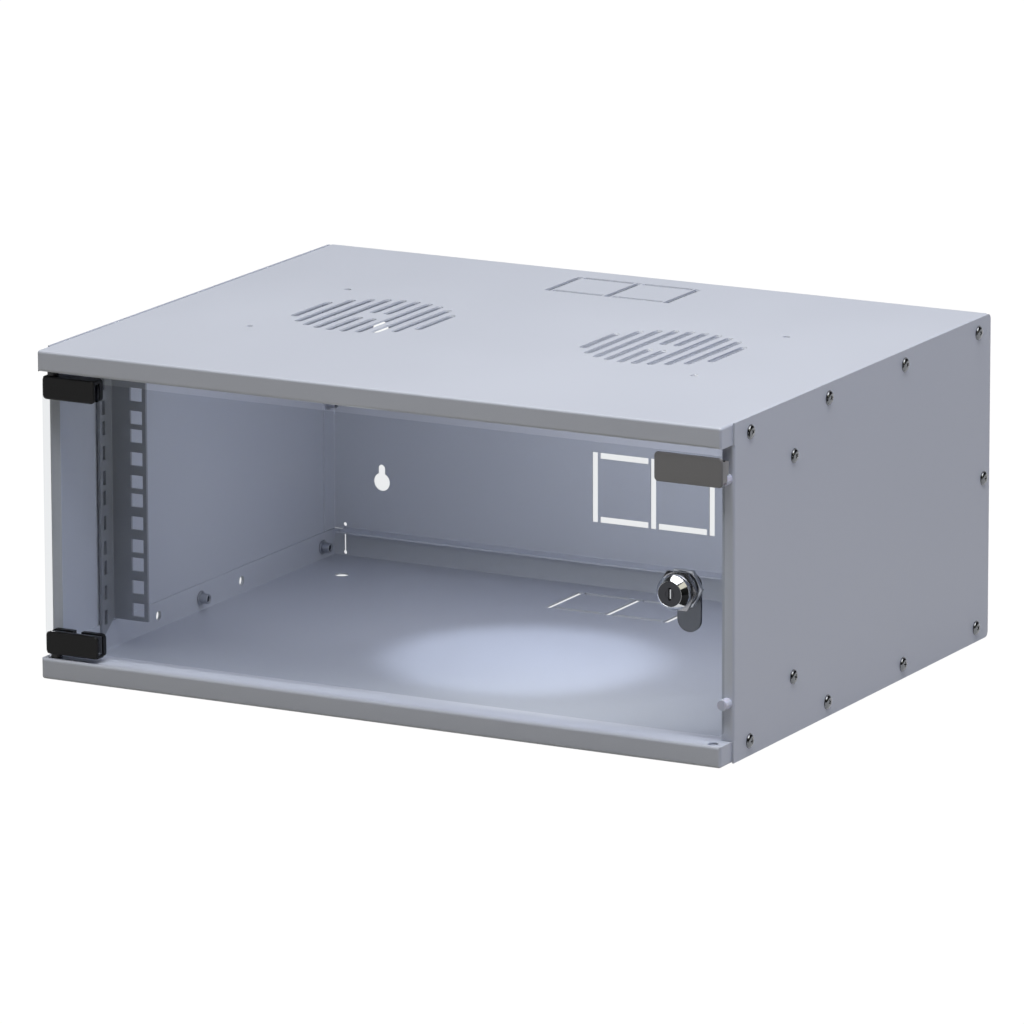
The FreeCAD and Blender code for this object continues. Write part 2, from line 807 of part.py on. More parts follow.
def lock_gasket_ring():
    bore = (lock_barrel_r + lock_running_gap) / math.cos(math.pi / lock_sides)
    profile = [(0, bore), (0, lock_head_r), (lock_gasket, lock_head_r), (lock_gasket, bore)]
    return flat_sided(profile, on_lock(glass_y - lock_gasket), Vector(0, 1, 0), lock_sides)


def lock_collar_ring():
    return hexagon(lock_collar_flats, collar_front, lock_collar, lock_barrel_r + lock_running_gap)


def lock_rear_nut():
    return hexagon(lock_nut_flats, glass_back, lock_nut, lock_barrel_r + lock_running_gap)


def lock_housing():
    """Bezel and threaded barrel in one turning, bored for the key plug."""
    tail = cam_front - collar_front - cam_clear
    head = -lock_head_length
    face = head - lock_bezel
    profile = [(face, 0), (face, lock_face_r), (head, lock_head_r), (0, lock_head_r),
               (0, lock_barrel_r), (tail, lock_barrel_r), (tail, 0)]
    body = flat_sided(profile, on_lock(collar_front), Vector(0, 1, 0), lock_sides)
    bore = rod(lock_core_r + lock_running_gap, on_lock(lock_face), on_lock(cam_front))
    recess = rod(lock_disc_r + lock_running_gap, on_lock(lock_face - lock_disc),
                 on_lock(lock_face + lock_disc))
    return body.cut([bore, recess])


def lock_plug():
    """Key plug: face disc with a key slot, core, and the square tail that drives the cam."""
    plug = rod(lock_disc_r, on_lock(lock_face), on_lock(lock_face + lock_disc - lock_running_gap))
    plug = plug.fuse(rod(lock_core_r, on_lock(lock_face + lock_disc / 2), on_lock(cam_front)))
    half = lock_tail / 2
    plug = plug.fuse(block(lock_x - half, lock_x + half, cam_front - lock_disc, cam_back,
                           lock_z - half, lock_z + half))
    slot = block(lock_x - key_slot / 2, lock_x + key_slot / 2, lock_face - lock_disc,
                 lock_face + key_slot_depth, lock_z - key_slot_height / 2,
                 lock_z + key_slot_height / 2)
    thread = rod(cam_screw_r + pin_fit, on_lock(cam_back - cam_screw_reach), on_lock(cam_back + 1))
    return plug.cut([slot, thread])


def lock_cam():
    """Latch plate, hanging down when unlocked. A quarter turn puts it behind the side flange."""
    half = cam_width / 2
    outline = rectangle(lock_x - half, lock_x + half, lock_z - cam_reach, lock_z + half)
    plate = prism(outline, [half] * 4, on_xz, Vector(0, cam_front, 0), Vector(0, cam_plate, 0))
    hole = lock_tail / 2 + lock_tail_gap
    return plate.cut(block(lock_x - hole, lock_x + hole, cam_front - 1, cam_back + 1,
                           lock_z - hole, lock_z + hole))


def cam_screw():
    profile = [(-cam_screw_reach, 0), (-cam_screw_reach, cam_screw_r), (0, cam_screw_r),
               (0, cam_screw_head_r), (cam_screw_head, cam_screw_head_r), (cam_screw_head, 0)]
    return flat_sided(profile, on_lock(cam_back), Vector(0, 1, 0))


def build_parts():
    """Every piece of the cabinet by the name of its file."""
    parts = {
        "top_panel": top_panel(),
        "bottom_panel": bottom_panel(),
        "rear_panel": rear_panel(),
        "tray_rivet_nuts": Part.makeCompound(
            [rivet_nut(spot, sheet, 0) for side in (-1, 1) for spot in side_fixings(side)]),
        "rear_rivet_nuts": Part.makeCompound(
            [rivet_nut(spot, sheet, 0) for spot in pan_fixings()]),
        "rail_rivet_nuts": Part.makeCompound(
            [rivet_nut(spot, rail_sheet, sheet) for spot in ear_fixings()]),
        "glass_door": glass_door(),
        "finger_plate": finger_plate(),
        "finger_plate_tape": grip_tape_pad(),
        "lock_gasket": lock_gasket_ring(),
        "lock_collar": lock_collar_ring(),
        "lock_housing": lock_housing(),
        "lock_nut": lock_rear_nut(),
        "lock_plug": lock_plug(),
        "lock_cam": lock_cam(),
        "lock_cam_screw": cam_screw(),
    }
    for name, side in (("left", -1), ("right", 1)):
        spots = pan_fixings() + ear_fixings()
        spots = side_fixings(side) + [spot for spot in spots if spot[0] == side]
        parts["side_panel_" + name] = side_panel(side)
        parts["rail_" + name] = rail(side)
        parts["side_screws_" + name] = Part.makeCompound([side_screw(spot) for spot in spots])
    for name, end in (("lower", -1), ("upper", 1)):
        parts["hinge_body_" + name] = hinge_body(end)
        parts["hinge_liner_" + name] = hinge_liner(end)
        parts["hinge_pin_" + name] = hinge_pin(end)
        parts["hinge_bush_" + name] = pivot_bush(end)
        parts["hinge_screws_" + name] = clamp_screws(end)
    for name, spot in zip(("lower", "upper"), bumper_spots()):
        parts["door_bumper_" + name] = bumper(spot)
    return parts


os.makedirs("parts", exist_ok=True)
for part_name, part_shape in build_parts().items():
    part_shape.exportStep("parts/" + part_name + ".step")
    box = part_shape.BoundBox
    print(part_name, len(part_shape.Solids), "solids", part_shape.isValid(),
          round(part_shape.Volume), [round(v, 1) for v in
                                     (box.XMin, box.XMax, box.YMin, box.YMax, box.ZMin, box.ZMax)])
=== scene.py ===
# %% [markdown]
# # A wall mount network cabinet, dressed over its CAD frame
# The cabinet is folded from sheet steel: a roof and a floor pressing, a rear pan, two side plates
# held by pan head screws, two rack rails, and a glass door that turns on pins in black clamps.
# The CAD frame already has those parts in their places. This lesson gives them their finishes,
# makes the small turned and threaded parts again with the detail that the solids leave out,
# and sets up the studio. Everything is in metres, in the frame of the CAD.

# %% Load the frame
import math
import bmesh
import bpy
from mathutils import Matrix, Vector


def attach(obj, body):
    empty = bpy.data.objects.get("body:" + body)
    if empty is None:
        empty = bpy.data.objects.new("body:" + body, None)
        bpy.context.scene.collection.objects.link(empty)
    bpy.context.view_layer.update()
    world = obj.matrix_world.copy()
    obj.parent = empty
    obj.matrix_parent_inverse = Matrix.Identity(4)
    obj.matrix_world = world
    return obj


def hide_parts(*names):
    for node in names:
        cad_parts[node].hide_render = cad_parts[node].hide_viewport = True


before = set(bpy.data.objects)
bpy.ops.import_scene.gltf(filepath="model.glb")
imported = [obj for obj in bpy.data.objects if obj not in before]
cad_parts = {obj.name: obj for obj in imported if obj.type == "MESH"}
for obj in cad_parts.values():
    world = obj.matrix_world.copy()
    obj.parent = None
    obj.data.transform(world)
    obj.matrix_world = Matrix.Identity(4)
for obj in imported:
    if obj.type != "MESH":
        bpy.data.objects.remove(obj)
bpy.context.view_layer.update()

print("nodes in the frame:", len(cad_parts))

# %% [markdown]
# ## Small helpers
# Sizes are easier to read in millimetres, and colours as the eye sees them on a screen.
# Blender works in metres and in linear light. Every number could be typed in those, but nobody
# would know a 4.8 mm screw or a pale grey in them, so two short helpers turn one into the other.

# %% Units and colours
MM = 0.001


def mm(*values):
    """A point or direction given in millimetres."""
    return Vector(values) * MM


def tint(red, green, blue):
    """A screen colour, 0 to 255 a channel, as the linear colour that a shader takes."""
    def linear(value):
        value /= 255
        return value / 12.92 if value <= 0.04045 else ((value + 0.055) / 1.055) ** 2.4
    return (linear(red), linear(green), linear(blue), 1.0)


paint_light, paint_dark = tint(203, 207, 217), tint(196, 200, 211)
print("paint in linear light:", [round(v, 3) for v in paint_light])

# %% [markdown]
# ## Surface effects that several materials share
# Powder coat isn't mirror flat. It is sprayed as dry powder and baked, which leaves a very fine
# orange peel, and its shade drifts a little over a large sheet. Bare steel parts carry fine
# turning or grinding lines instead. Every material could have its own copy of the nodes, but
# then each change would be made ten times. So each effect is a shader node group that is built
# once and placed in each material with its own scale. The groups read Object coordinates, so
# the pattern keeps its true size on every piece.

# %% A maker of shader groups


def shader_group(name, inputs, outputs):
    """A new shader node group with named inputs (name, kind, default) and outputs."""
    tree = bpy.data.node_groups.new(name, "ShaderNodeTree")
    for label, kind, default in inputs:
        socket = tree.interface.new_socket(label, in_out="INPUT", socket_type=kind)
        socket.default_value = default
    for label, kind in outputs:
        tree.interface.new_socket(label, in_out="OUTPUT", socket_type=kind)
    return tree, tree.nodes.new("NodeGroupInput"), tree.nodes.new("NodeGroupOutput")


def add_node(tree, kind, **settings):
    """A node of that kind. Settings are its properties, such as operation or blend_type."""
    node = tree.nodes.new(kind)
    for name, value in settings.items():
        setattr(node, name, value)
    return node


# %% Two node chains that the groups share


def bump_from(tree, pattern, strength, distance):
    """A normal from a pattern. Strength is a socket, and distance the full height in metres."""
    bump = add_node(tree, "ShaderNodeBump")
    bump.inputs["Distance"].default_value = distance
    tree.links.new(strength, bump.inputs["Strength"])
    tree.links.new(pattern, bump.inputs["Height"])
    return bump.outputs["Normal"]


def gloss_from(tree, pattern, low, high):
    """Roughness from a noise pattern, whose values lie mostly between 0.3 and 0.7."""
    gloss = add_node(tree, "ShaderNodeMapRange")
    gloss.inputs["From Min"].default_value = 0.3
    gloss.inputs["From Max"].default_value = 0.7
    tree.links.new(pattern, gloss.inputs["Value"])
    tree.links.new(low, gloss.inputs["To Min"])
    tree.links.new(high, gloss.inputs["To Max"])
    return gloss.outputs["Result"]


# %% Group: grain of a coat or a moulding
def build_coat_grain():
    tree, start, end = shader_group(
        "coat_grain",
        [("Cells per metre", "NodeSocketFloat", 900.0), ("Height", "NodeSocketFloat", 0.1)],
        [("Normal", "NodeSocketVector")])
    place = add_node(tree, "ShaderNodeTexCoord")
    noise = add_node(tree, "ShaderNodeTexNoise")
    noise.inputs["Detail"].default_value = 2.0
    noise.inputs["Roughness"].default_value = 0.45
    tree.links.new(place.outputs["Object"], noise.inputs["Vector"])
    tree.links.new(start.outputs["Cells per metre"], noise.inputs["Scale"])
    normal = bump_from(tree, noise.outputs["Fac"], start.outputs["Height"], 0.00006)
    tree.links.new(normal, end.inputs["Normal"])
    return tree


coat_grain = build_coat_grain()
print("group", coat_grain.name, "has", len(coat_grain.nodes), "nodes")


# %% Group: slow drift of shade and gloss over a part
def build_shade_drift():
    tree, start, end = shader_group(
        "shade_drift",
        [("Light shade", "NodeSocketColor", (0.8, 0.8, 0.8, 1)),
         ("Dark shade", "NodeSocketColor", (0.7, 0.7, 0.7, 1)),
         ("Patches per metre", "NodeSocketFloat", 5.0),
         ("Gloss low", "NodeSocketFloat", 0.35), ("Gloss high", "NodeSocketFloat", 0.45)],
        [("Color", "NodeSocketColor"), ("Roughness", "NodeSocketFloat")])
    place = add_node(tree, "ShaderNodeTexCoord")
    patches = add_node(tree, "ShaderNodeTexNoise")
    patches.inputs["Detail"].default_value = 4.0
    patches.inputs["Roughness"].default_value = 0.55
    tree.links.new(place.outputs["Object"], patches.inputs["Vector"])
    tree.links.new(start.outputs["Patches per metre"], patches.inputs["Scale"])
    mix = add_node(tree, "ShaderNodeMix", data_type="RGBA")
    tree.links.new(patches.outputs["Fac"], mix.inputs["Factor"])
    tree.links.new(start.outputs["Dark shade"], mix.inputs["A"])
    tree.links.new(start.outputs["Light shade"], mix.inputs["B"])
    tree.links.new(mix.outputs["Result"], end.inputs["Color"])
    gloss = gloss_from(tree, patches.outputs["Fac"], start.outputs["Gloss low"],
                       start.outputs["Gloss high"])
    tree.links.new(gloss, end.inputs["Roughness"])
    return tree


shade_drift = build_shade_drift()
print("group", shade_drift.name, "has", len(shade_drift.nodes), "nodes")


# %% Group: turning and grinding lines on bare metal
def build_tool_lines():
    tree, start, end = shader_group(
        "tool_lines",
        [("Centre", "NodeSocketVector", (0, 0, 0)), ("Stretch", "NodeSocketVector", (1, 1, 1)),
         ("Lines per metre", "NodeSocketFloat", 3000.0), ("Depth", "NodeSocketFloat", 0.2),
         ("Gloss low", "NodeSocketFloat", 0.15), ("Gloss high", "NodeSocketFloat", 0.3)],
        [("Normal", "NodeSocketVector"), ("Roughness", "NodeSocketFloat")])
    place = add_node(tree, "ShaderNodeTexCoord")
    centred = add_node(tree, "ShaderNodeVectorMath", operation="SUBTRACT")
    tree.links.new(place.outputs["Object"], centred.inputs[0])
    tree.links.new(start.outputs["Centre"], centred.inputs[1])
    stretched = add_node(tree, "ShaderNodeVectorMath", operation="MULTIPLY")
    tree.links.new(centred.outputs[0], stretched.inputs[0])
    tree.links.new(start.outputs["Stretch"], stretched.inputs[1])
    lines = add_node(tree, "ShaderNodeTexNoise")
    lines.inputs["Detail"].default_value = 3.0
    tree.links.new(stretched.outputs[0], lines.inputs["Vector"])
    tree.links.new(start.outputs["Lines per metre"], lines.inputs["Scale"])
    normal = bump_from(tree, lines.outputs["Fac"], start.outputs["Depth"], 0.00003)
    tree.links.new(normal, end.inputs["Normal"])
    gloss = gloss_from(tree, lines.outputs["Fac"], start.outputs["Gloss low"],
                       start.outputs["Gloss high"])
    tree.links.new(gloss, end.inputs["Roughness"])
    return tree


tool_lines = build_tool_lines()
print("group", tool_lines.name, "has", len(tool_lines.nodes), "nodes")

# %% [markdown]
# ## Finishes
# The cabinet is powder coated in a pale blue grey, the rails in dark grey, the clamps in black,
# and the lock, screws and nuts are bare plated metal. A flat colour would do from far away, but
# real sheet is never that even. So each finish is one Principled shader with the groups placed
# in front of it. Numbers that are the same all over a part are set on the shader itself.

# %% A maker of finishes


def new_finish(name):
    """A material with a Principled shader. Returns the material and that shader."""
    material = bpy.data.materials.new(name)
    material.use_nodes = True
    return material, material.node_tree.nodes["Principled BSDF"]


def place_group(material, group, **values):
    """The group as a node in the material, with its inputs set by name."""
    node = material.node_tree.nodes.new("ShaderNodeGroup")
    node.node_tree = group
    for label, value in values.items():
        node.inputs[label.replace("_", " ")].default_value = value
    return node


def coated(name, light, dark, patches, gloss, cells, height):
    """A sprayed or moulded finish: drifting shade and gloss, and a fine grain."""
    material, shader = new_finish(name)
    links = material.node_tree.links
    drift = place_group(material, shade_drift, Light_shade=light, Dark_shade=dark,
                        Patches_per_metre=patches, Gloss_low=gloss[0], Gloss_high=gloss[1])
    grain = place_group(material, coat_grain, Cells_per_metre=cells, Height=height)
    links.new(drift.outputs["Color"], shader.inputs["Base Color"])
    links.new(drift.outputs["Roughness"], shader.inputs["Roughness"])
    links.new(grain.outputs["Normal"], shader.inputs["Normal"])
    print("finish", name)
    return material, shader


def bare_metal(name, colour, gloss, lines, depth, stretch=(1, 1, 1), centre=(0, 0, 0)):
    """A bare or plated metal with tool lines. Stretch slows the pattern along the lines."""
    material, shader = new_finish(name)
    links = material.node_tree.links
    worked = place_group(material, tool_lines, Centre=centre, Stretch=stretch,
                         Lines_per_metre=lines, Depth=depth,
                         Gloss_low=gloss[0], Gloss_high=gloss[1])
    links.new(worked.outputs["Normal"], shader.inputs["Normal"])
    links.new(worked.outputs["Roughness"], shader.inputs["Roughness"])
    shader.inputs["Base Color"].default_value = colour
    shader.inputs["Metallic"].default_value = 1.0
    print("finish", name)
    return material


# %% Painted finishes
cabinet_paint, _ = coated("cabinet_paint", paint_light, paint_dark, patches=4.0,
                          gloss=(0.34, 0.42), cells=1100.0, height=0.1)
rail_paint, _ = coated("rail_paint", tint(154, 157, 164), tint(148, 151, 158), patches=9.0,
                       gloss=(0.36, 0.46), cells=1300.0, height=0.12)
black_light, black_dark = tint(30, 30, 31), tint(26, 26, 27)
clamp_paint, clamp_shader = coated("clamp_paint", black_light, black_dark, patches=20.0,
                                   gloss=(0.36, 0.46), cells=2200.0, height=0.18)
clamp_shader.inputs["Specular IOR Level"].default_value = 0.18

# %% Moulded finishes
plate_moulding, _ = coated("plate_moulding", tint(126, 125, 126), tint(121, 120, 121),
                           patches=30.0, gloss=(0.34, 0.42), cells=2400.0, height=0.12)
bush_nylon, _ = coated("bush_nylon", black_light, black_dark, patches=60.0,
                       gloss=(0.45, 0.55), cells=3000.0, height=0.2)
soft_liner, _ = coated("soft_liner", tint(34, 34, 35), tint(28, 28, 29), patches=60.0,
                       gloss=(0.65, 0.8), cells=3500.0, height=0.5)
pad_vinyl, _ = coated("pad_vinyl", tint(134, 136, 144), tint(126, 128, 136), patches=60.0,
                      gloss=(0.4, 0.5), cells=3000.0, height=0.2)
bumper_rubber, bumper_shader = coated("bumper_rubber", tint(222, 223, 238), tint(214, 215, 232),
                                      patches=80.0, gloss=(0.42, 0.52), cells=2500.0,
                                      height=0.15)
bumper_shader.inputs["Subsurface Weight"].default_value = 0.1
bumper_shader.inputs["Subsurface Scale"].default_value = 0.002

# %% Metal finishes
lock_x, lock_z = 222.9, 1.8
lock_axis = mm(lock_x, 0, lock_z)
nut_zinc = bare_metal("nut_zinc", tint(188, 190, 196), gloss=(0.26, 0.4), lines=2600.0,
                      depth=0.25)
screw_nickel = bare_metal("screw_nickel", tint(112, 114, 118), gloss=(0.1, 0.18), lines=3200.0,
                          depth=0.08, stretch=(0.15, 1, 1))
pin_steel = bare_metal("pin_steel", tint(182, 184, 188), gloss=(0.2, 0.32), lines=3200.0,
                       depth=0.2, stretch=(1, 1, 0.2))
lock_chrome = bare_metal("lock_chrome", tint(200, 202, 206), gloss=(0.07, 0.14), lines=2600.0,
                         depth=0.05, stretch=(0.1, 1, 0.1), centre=lock_axis)
collar_steel = bare_metal("collar_steel", tint(150, 151, 156), gloss=(0.22, 0.34), lines=2400.0,
                          depth=0.15, stretch=(0.4, 1, 1))
cam_steel = bare_metal("cam_steel", tint(104, 106, 112), gloss=(0.3, 0.42), lines=1600.0,
                       depth=0.2, stretch=(1, 1, 0.12))
face_satin = bare_metal("face_satin", tint(69, 70, 74), gloss=(0.34, 0.44), lines=3600.0,
                        depth=0.15, stretch=(1, 1, 0.15), centre=lock_axis)

# %% [markdown]
# ## Glass
# The door is a 5 mm pane of glass with ground and polished edges. In the photograph it only
# darkens what is behind it, by about a fifth: it mirrors nothing of the room and doesn't shift
# the view. A full index of 1.5 would show a mirrored room over the whole pane, and a bright line
# along its edges. So this Principled shader has full transmission, a tinted base colour and an
# index just above 1. A pane of such a shader would still throw a dark shadow in a path tracer,
# so the Light Path node mixes in a Transparent shader of the same tint for shadow rays alone.

# %% The pane's finish
glass_tint = (0.81, 0.825, 0.84, 1)


def build_glass():
    material, shader = new_finish("door_glass")
    tree = material.node_tree
    shader.inputs["Base Color"].default_value = glass_tint
    shader.inputs["Roughness"].default_value = 0.0
    shader.inputs["IOR"].default_value = 1.002
    shader.inputs["Transmission Weight"].default_value = 1.0
    clear = add_node(tree, "ShaderNodeBsdfTransparent")
    clear.inputs["Color"].default_value = glass_tint
    rays = add_node(tree, "ShaderNodeLightPath")
    mix = add_node(tree, "ShaderNodeMixShader")
    tree.links.new(rays.outputs["Is Shadow Ray"], mix.inputs[0])
    tree.links.new(shader.outputs[0], mix.inputs[1])
    tree.links.new(clear.outputs[0], mix.inputs[2])
    tree.links.new(mix.outputs[0], tree.nodes["Material Output"].inputs["Surface"])
    return material


door_glass = build_glass()
print("finish", door_glass.name)

# %% [markdown]
# ## Dressing the sheet metal and the mouldings
# The folded parts have the right bends and holes in the CAD. They could be modelled again as
# thick planes, but that would only repeat the frame, so their nodes stay and get a finish. A
# table of node and finish does that in one pass. The finish goes to every material slot of the
# node, because an imported mesh may have more than one.

# %% Finishes on the CAD nodes
cad_finishes = {
    "top_panel": cabinet_paint, "bottom_panel": cabinet_paint, "rear_panel": cabinet_paint,
    "side_panel_left": cabinet_paint, "side_panel_right": cabinet_paint,
    "rail_left": rail_paint, "rail_right": rail_paint,
    "hinge_bush_lower": bush_nylon, "hinge_bush_upper": bush_nylon,
    "door_bumper_lower": bumper_rubber, "door_bumper_upper": bumper_rubber,
    "hinge_body_lower": clamp_paint, "hinge_body_upper": clamp_paint,
    "hinge_liner_lower": pad_vinyl, "hinge_liner_upper": pad_vinyl,
    "hinge_pin_lower": pin_steel, "hinge_pin_upper": pin_steel,
    "finger_plate_tape": soft_liner,
    "lock_gasket": soft_liner, "lock_cam": cam_steel,
}


def paint(piece, finish):
    """Gives every face of the piece that finish."""
    if not piece.data.materials:
        piece.data.materials.append(finish)
    for slot in piece.material_slots:
        slot.material = finish


for node_name, finish in cad_finishes.items():
    paint(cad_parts[node_name], finish)
print("nodes dressed:", len(cad_finishes))

# %% [markdown]
# ## Turned forms
# Screw heads, nuts and the lock are turned on a lathe: a profile goes round an axis. Stacked
# cylinders would give the steps but no domes, threads or soft rims. So one helper makes them
# all from a list of (distance along the axis, radius) pairs. Points on the axis become a single
# vertex, so the ends close without a hole.

# %% A helper that turns a profile


def mesh_from(form, name):
    """The bmesh as a plain mesh of that name. The bmesh is freed."""
    mesh = bpy.data.meshes.new(name)
    form.to_mesh(mesh)
    form.free()
    return mesh


def turned_mesh(name, profile, sides):
    """A closed mesh from (distance, radius) pairs in millimetres, spun about the X axis."""
    form = bmesh.new()
    rings = []
    for along, radius in profile:
        if radius == 0:
            rings.append([form.verts.new(mm(along, 0, 0))])
            continue
        angles = [2 * math.pi * i / sides for i in range(sides)]
        rings.append([form.verts.new(mm(along, radius * math.cos(a), radius * math.sin(a)))
                      for a in angles])
    for lower, upper in zip(rings, rings[1:]):
        for i in range(sides):
            j = (i + 1) % sides
            corners = [lower[i % len(lower)], lower[j % len(lower)],
                       upper[j % len(upper)], upper[i % len(upper)]]
            form.faces.new(list(dict.fromkeys(corners)))
    if len(rings[0]) > 1 and rings[0][0].co == rings[-1][0].co:
        bmesh.ops.remove_doubles(form, verts=form.verts, dist=1e-7)
    bmesh.ops.recalc_face_normals(form, faces=form.faces)
    return mesh_from(form, name)


# %% New objects, and modifiers made permanent


def new_piece(name, mesh, finish=None):
    """An object for the mesh, linked to the scene, at the origin."""
    piece = bpy.data.objects.new(name, mesh)
    bpy.context.scene.collection.objects.link(piece)
    if finish:
        paint(piece, finish)
    return piece


def baked(piece):
    """The piece's evaluated mesh as its own plain mesh, with no modifier left."""
    bpy.context.view_layer.update()
    graph = bpy.context.evaluated_depsgraph_get()
    mesh = bpy.data.meshes.new_from_object(piece.evaluated_get(graph))
    piece.modifiers.clear()
    old = piece.data
    piece.data = mesh
    bpy.data.meshes.remove(old)
    return piece


# %% Cutting, smoothing and softening


def cut_by(piece, cutters, operation="DIFFERENCE"):
    """Cuts the piece with each cutter mesh, or with INTERSECT keeps only what they share."""
    tools = []
    for cutter in cutters:
        tool = new_piece("cutter", cutter)
        cut = piece.modifiers.new("cut", "BOOLEAN")
        cut.operation = operation
        cut.solver = "EXACT"
        cut.object = tool
        tools.append(tool)
    baked(piece)
    for tool in tools:
        bpy.data.objects.remove(tool)
    return piece


def smooth(piece, degrees):
    """Smooth shading, with edges sharper than that many degrees left crisp."""
    mesh = piece.data
    mesh.shade_smooth()
    form = bmesh.new()
    form.from_mesh(mesh)
    for edge in form.edges:
        edge.smooth = edge.calc_face_angle(0.0) < math.radians(degrees)
    form.to_mesh(mesh)
    form.free()
    return piece


def soften(piece, width, segments=2):
    """Rounds the piece's edges sharper than 40 degrees by that many millimetres."""
    bevel = piece.modifiers.new("soft_edges", "BEVEL")
    bevel.width = width * MM
    bevel.segments = segments
    bevel.limit_method = "ANGLE"
    bevel.angle_limit = math.radians(40)
    bevel.use_clamp_overlap = True
    return baked(piece)


# %% Hanging a piece on its body and hiding its nodes


def finish_piece(piece, body, nodes):
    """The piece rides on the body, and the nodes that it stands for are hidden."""
    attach(piece, body)
    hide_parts(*nodes)
    print("piece", piece.name, "has", len(piece.data.polygons), "faces")


# %% [markdown]
# ## Fasteners, set out by Geometry Nodes
# The side plates are held by the same screw again and again, and behind each one sits the same
# rivet nut. Copies could be placed by hand or with an Array modifier, but then they would all
# line up. So the part is modelled once, and a Geometry Nodes tree puts it on a cloud of points:
# each point knows which way the part faces, and a seeded random turn about the part's axis keeps
# the cross recesses from lining up, as they never do on a real cabinet.

# %% The tree that sets parts on points


def build_set_out():
    """Puts a part on every point. The part's axis is X, and the point's 'facing' is 1 or -1."""
    tree = bpy.data.node_groups.new("set_parts_out", "GeometryNodeTree")
    sockets = {}
    for label, kind in (("Spots", "NodeSocketGeometry"), ("Part", "NodeSocketObject"),
                        ("Size", "NodeSocketFloat"), ("Turn seed", "NodeSocketInt"),
                        ("Finish", "NodeSocketMaterial")):
        sockets[label] = tree.interface.new_socket(label, in_out="INPUT", socket_type=kind)
    sockets["Size"].default_value = 1.0
    sockets["Turn seed"].default_value = 7
    tree.interface.new_socket("Parts", in_out="OUTPUT", socket_type="NodeSocketGeometry")
    start, end = tree.nodes.new("NodeGroupInput"), tree.nodes.new("NodeGroupOutput")
    part = add_node(tree, "GeometryNodeObjectInfo", transform_space="ORIGINAL")
    turn = add_node(tree, "FunctionNodeRandomValue", data_type="FLOAT")
    # This node has sockets for every data type. These two are the float ones.
    float_max, float_value = turn.inputs[3], turn.outputs[1]
    float_max.default_value = 2 * math.pi
    facing = add_node(tree, "GeometryNodeInputNamedAttribute", data_type="FLOAT")
    facing.inputs["Name"].default_value = "facing"
    about = add_node(tree, "ShaderNodeMapRange")
    about.inputs["From Min"].default_value = -1.0
    about.inputs["From Max"].default_value = 1.0
    about.inputs["To Min"].default_value = math.pi
    about.inputs["To Max"].default_value = 0.0
    angles = add_node(tree, "ShaderNodeCombineXYZ")
    put = add_node(tree, "GeometryNodeInstanceOnPoints")
    real = add_node(tree, "GeometryNodeRealizeInstances")
    coat = add_node(tree, "GeometryNodeSetMaterial")
    link = tree.links.new
    link(start.outputs["Part"], part.inputs["Object"])
    link(start.outputs["Turn seed"], turn.inputs["Seed"])
    link(facing.outputs["Attribute"], about.inputs["Value"])
    link(float_value, angles.inputs["X"])
    link(about.outputs["Result"], angles.inputs["Z"])
    link(start.outputs["Spots"], put.inputs["Points"])
    link(part.outputs["Geometry"], put.inputs["Instance"])
    link(angles.outputs["Vector"], put.inputs["Rotation"])
    link(start.outputs["Size"], put.inputs["Scale"])
    link(put.outputs["Instances"], real.inputs["Geometry"])
    link(real.outputs["Geometry"], coat.inputs["Geometry"])
    link(start.outputs["Finish"], coat.inputs["Material"])
    link(coat.outputs["Geometry"], end.inputs["Parts"])
    return tree


set_out = build_set_out()
print("tree", set_out.name, "has", len(set_out.nodes), "nodes")


# %% Running a tree and keeping its mesh
def run_tree(piece, tree, **values):
    """Runs the tree on the piece with its inputs set by name, and keeps the plain mesh."""
    modifier = piece.modifiers.new("made_by_nodes", "NODES")
    modifier.node_group = tree
    wanted = {label.replace("_", " "): value for label, value in values.items()}
    for item in tree.interface.items_tree:
        if item.in_out == "INPUT" and item.name in wanted:
            modifier[item.identifier] = wanted[item.name]
    return baked(piece)


def spots_piece(name, spots):
    """Points for the tree, from (x, y, z, facing) in millimetres."""
    mesh = bpy.data.meshes.new(name)
    mesh.from_pydata([mm(x, y, z) for x, y, z, _ in spots], [], [])
    facing = mesh.attributes.new("facing", "FLOAT", "POINT")
    facing.data.foreach_set("value", [float(spot[3]) for spot in spots])
    return new_piece(name, mesh)


# %% [markdown]
# ## The pan head screw
# The head is a low dome over a thin rim, with a cross recess. A plain disc with a picture of a
# cross would do from far away, but the head is close to the eye in the photograph. The dome is
# turned in small steps, because its bright crescent is what the eye finds first. The recess is
# cut with two tapered blades, and the shank gets a row of thread rings, since a true helix
# would cost many more faces and isn't seen.

# %% Parts of a screw


def dome_profile(foot, rise, radius, fullness, flat, step, count):
    """A domed head from the axis out: its foot, rise and radius, and the flat on its top."""
    angles = [math.radians(step * k) for k in range(count, 0, -1)]
    return [(foot + rise, 0), (foot + rise, flat)] + [
        (foot + rise * math.sin(t), radius * math.cos(t) ** fullness) for t in angles]


def tapered_blade(length, width, top, bottom):
    """A blade of the cross recess: full size at the top of the head, narrow at the bottom."""
    form = bmesh.new()
    bmesh.ops.create_cube(form, size=1)
    for vert in form.verts:
        upper = vert.co.x > 0
        share = 1.0 if upper else 0.35
        vert.co = mm(top if upper else bottom,
                     math.copysign(length / 2 * share, vert.co.y),
                     math.copysign(width / 2 * (1.0 if upper else 0.7), vert.co.z))
    return mesh_from(form, "blade")


def cross_recess(*sizes):
    """The two crossed blades that cut a recess."""
    first, second = tapered_blade(*sizes), tapered_blade(*sizes)
    second.transform(Matrix.Rotation(math.pi / 2, 4, "X"))
    return [first, second]


